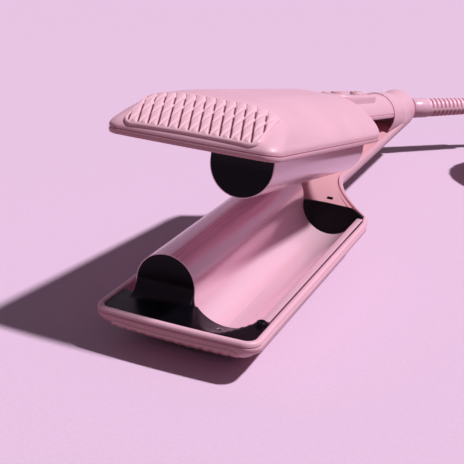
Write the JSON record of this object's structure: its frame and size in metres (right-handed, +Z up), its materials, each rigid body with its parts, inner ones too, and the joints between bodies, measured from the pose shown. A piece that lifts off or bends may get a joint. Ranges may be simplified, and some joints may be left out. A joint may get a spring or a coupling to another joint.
{
  "type": "hair waver",
  "caption": "Hinged hair waver: two jaws with nesting wave plates, diamond nose grips, long handle with controls, swivel cord guard, cord and plug.",
  "frame": {"origin": "on the surface that the lower jaw rests on, under the middle of the two arms' length", "axes": "+Y from the jaws' tip towards the hinge and cord end, +Z up, +X towards the lower trough"},
  "size_m": [0.1682, 0.3796, 0.0936],
  "materials": {
    "shell": "satin",
    "dark_cap": "satin",
    "plate": "pearl ceramic coat",
    "cover": "satin",
    "ceramic": "matt",
    "carrier": "matt",
    "sensor": "satin",
    "steel": "satin",
    "panel": "gloss",
    "window": "gloss",
    "button": "gloss",
    "board": "matt",
    "guard": "satin",
    "cord": "satin",
    "plug": "satin",
    "blades": "satin"
  },
  "bodies": {
    "lower_arm": {"lower_shell": "shell", "lower_nose_grip": "shell", "lower_end_cap": "dark_cap", "lower_plate": "plate", "lower_rear_wall": "dark_cap", "lower_inner_cover": "cover", "lower_heater": "ceramic", "lower_plate_carrier": "carrier", "lower_heat_sensor": "sensor", "lower_cap_screw": "steel", "hinge_pin": "steel", "return_spring": "steel", "handle_screws": "steel", "cord_lead": "cord", "cord_coil": "cord", "cord_tail": "cord", "plug_guard": "guard", "plug_body": "plug", "plug_blades": "blades"},
    "upper_arm": {"upper_shell": "shell", "upper_nose_grip": "shell", "upper_end_cap": "dark_cap", "upper_plate": "plate", "upper_rear_wall": "dark_cap", "upper_inner_cover": "cover", "upper_heater": "ceramic", "upper_plate_carrier": "carrier", "upper_heat_sensor": "sensor", "upper_cap_screw": "steel", "control_panel": "panel", "display_window": "window", "circuit_board": "board"},
    "power_key": {"power_button": "button"},
    "plus_key": {"plus_button": "button"},
    "minus_key": {"minus_button": "button"},
    "cord_swivel": {"swivel_ball": "panel"},
    "cord_sleeve": {"cord_guard": "guard"}
  },
  "joints": [
    {"name": "jaw_hinge", "type": "hinge", "parent": "lower_arm", "child": "upper_arm", "pos_m": [0, 0.142, 0.03], "axis": [1, 0, 0], "range_deg": [0, 10.7], "stiffness_Nm_per_rad": 0.5, "springref_deg": -68.75, "deforming": ["return_spring"]},
    {"name": "power_push", "type": "slide", "parent": "upper_arm", "child": "power_key", "axis": [0, -0.1857, -0.9826], "range_m": [0, 0.0008], "stiffness_N_per_m": 400},
    {"name": "plus_push", "type": "slide", "parent": "upper_arm", "child": "plus_key", "axis": [0, -0.1857, -0.9826], "range_m": [0, 0.0008], "stiffness_N_per_m": 400},
    {"name": "minus_push", "type": "slide", "parent": "upper_arm", "child": "minus_key", "axis": [0, -0.1857, -0.9826], "range_m": [0, 0.0008], "stiffness_N_per_m": 400},
    {"name": "guard_swing", "type": "hinge", "parent": "lower_arm", "child": "cord_swivel", "pos_m": [0, 0.1546, 0.03], "axis": [0, 0, 1], "range_deg": [-5, 95], "deforming": ["cord_lead"]},
    {"name": "guard_spin", "type": "hinge", "parent": "cord_swivel", "child": "cord_sleeve", "pos_m": [0, 0.1546, 0.03], "axis": [0.7071, 0.7071, 0], "continuous": true}
  ]
}
